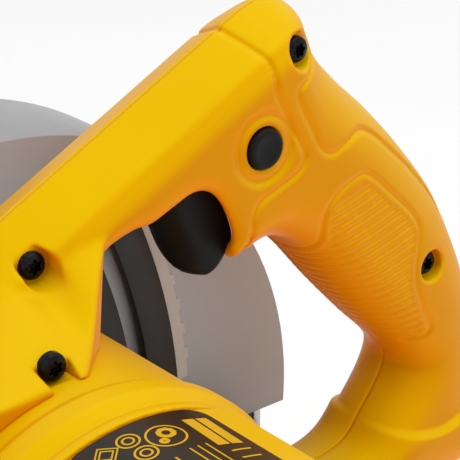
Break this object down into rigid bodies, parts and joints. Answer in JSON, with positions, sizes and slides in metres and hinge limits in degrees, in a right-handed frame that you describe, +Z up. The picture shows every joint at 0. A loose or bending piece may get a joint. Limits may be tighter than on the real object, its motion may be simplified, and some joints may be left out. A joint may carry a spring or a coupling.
{
  "type": "circular saw",
  "caption": "Corded circular saw with a closed rear handle, sidewinder motor, fixed and sprung blade guards, and a base that tilts and sets depth.",
  "frame": {"origin": "underside of the base, below the blade arbor in X and on the handle's middle plane in Y", "axes": "+X forward along the cut, +Y towards the motor end, +Z up from the base"},
  "size_m": [0.315, 0.2058, 0.2359],
  "materials": {
    "yellow_plastic": "satin moulded yellow",
    "guard_paint": "silver paint, satin",
    "cast_aluminium": "as cast",
    "black_steel": "black painted strap",
    "scale_strip": "pale scale strip",
    "base_steel": "pressed steel",
    "black_plastic": "satin black",
    "black_rubber": "soft black",
    "black_screw": "black oxide",
    "label": "printed film",
    "blade_steel": "ground steel",
    "copper": "enamelled wire",
    "brass": "brass",
    "carbon": "pressed carbon",
    "bright_steel": "machined steel"
  },
  "bodies": {
    "base": {"base_plate": "base_steel", "bevel_quadrant": "base_steel", "bevel_pivot_pin": "bright_steel", "rear_ear": "base_steel", "rear_pivot_pin": "bright_steel", "fence_bracket": "base_steel"},
    "fence_screw": {"fence_screw": "black_plastic"},
    "carriage": {"tilt_bracket": "base_steel", "depth_pivot_pin": "bright_steel", "depth_strap": "black_steel", "depth_scale": "scale_strip", "bevel_bolt": "bright_steel"},
    "bevel_lever": {"bevel_lever": "black_plastic"},
    "housing": {"left_handle_shell": "yellow_plastic", "right_handle_shell": "yellow_plastic", "handle_screws": "black_screw", "motor_housing": "yellow_plastic", "end_cap": "yellow_plastic", "end_cap_screws": "black_screw", "rating_label": "label", "gear_housing": "cast_aluminium", "gear_housing_screws": "black_screw", "upper_guard": "guard_paint", "dust_port": "black_plastic", "stator_core": "bright_steel", "field_windings": "copper", "brush_holders": "brass", "carbon_brushes": "carbon", "brush_caps": "black_plastic", "front_motor_bearing": "bright_steel", "rear_motor_bearing": "bright_steel", "spindle_front_bearing": "bright_steel", "spindle_rear_bearing": "bright_steel", "switch_body": "black_plastic", "trigger_pin": "bright_steel", "cable_sleeve": "black_rubber", "guard_spring": "bright_steel", "depth_clamp_bolt": "bright_steel"},
    "spindle": {"spindle": "bright_steel", "drive_gear": "bright_steel", "inner_flange": "bright_steel", "outer_flange": "bright_steel", "blade": "blade_steel", "blade_bolt": "black_screw"},
    "armature": {"armature_shaft": "bright_steel", "armature_core": "bright_steel", "armature_windings": "copper", "commutator": "copper", "fan": "black_plastic"},
    "lower_guard": {"lower_guard": "guard_paint", "lower_guard_hub": "guard_paint", "lower_guard_lever": "black_plastic"},
    "trigger": {"trigger": "black_plastic"},
    "lock_off_button": {"lock_off_button": "black_plastic"},
    "spindle_lock": {"spindle_lock": "black_plastic"},
    "depth_lever": {"depth_lever": "black_plastic"}
  },
  "joints": [
    {"name": "bevel_tilt", "type": "hinge", "parent": "base", "child": "carriage", "pos_m": [0.145, -0.057, 0.009], "axis": [1, 0, 0], "range_deg": [0, 48]},
    {"name": "depth_swing", "type": "hinge", "parent": "carriage", "child": "housing", "pos_m": [0.118, 0, 0.034], "axis": [0, 1, 0], "range_deg": [0, 26.5]},
    {"name": "blade_spin", "type": "hinge", "parent": "housing", "child": "spindle", "pos_m": [0, -0.03, 0.03], "axis": [0, 1, 0], "continuous": true},
    {"name": "armature_spin", "type": "hinge", "parent": "housing", "child": "armature", "pos_m": [0.027, 0.04, 0.05381], "axis": [0, 1, 0], "continuous": true},
    {"name": "lower_guard_swing", "type": "hinge", "parent": "housing", "child": "lower_guard", "pos_m": [0, -0.045, 0.03], "axis": [0, 1, 0], "range_deg": [0, 110], "stiffness_Nm_per_rad": 0.15, "springref_deg": -34.38},
    {"name": "trigger_pull", "type": "hinge", "parent": "housing", "child": "trigger", "pos_m": [-0.033, 0, 0.13], "axis": [0, 1, 0], "range_deg": [0, 12], "stiffness_Nm_per_rad": 0.6, "springref_deg": -8.59},
    {"name": "lock_off_press", "type": "slide", "parent": "housing", "child": "lock_off_button", "axis": [0, -1, 0], "range_m": [0, 0.003], "stiffness_N_per_m": 400, "springref_m": -0.002},
    {"name": "spindle_lock_press", "type": "slide", "parent": "housing", "child": "spindle_lock", "axis": [0.866, 0, -0.5], "range_m": [0, 0.004], "stiffness_N_per_m": 400, "springref_m": -0.002},
    {"name": "depth_lever_turn", "type": "hinge", "parent": "housing", "child": "depth_lever", "pos_m": [-0.04408, -0.0246, 0.03683], "axis": [0, 1, 0], "range_deg": [0, 40]},
    {"name": "bevel_lever_turn", "type": "hinge", "parent": "carriage", "child": "bevel_lever", "pos_m": [0.157, -0.02681, 0.03524], "axis": [1, 0, 0], "range_deg": [0, 60]},
    {"name": "fence_screw_turn", "type": "hinge", "parent": "base", "child": "fence_screw", "pos_m": [0.128, 0.028, 0.02], "axis": [0, 0, 1], "continuous": true}
  ],
  "couplings": [
    {"joint": "armature_spin", "follows": "blade_spin", "ratio": -3}
  ]
}
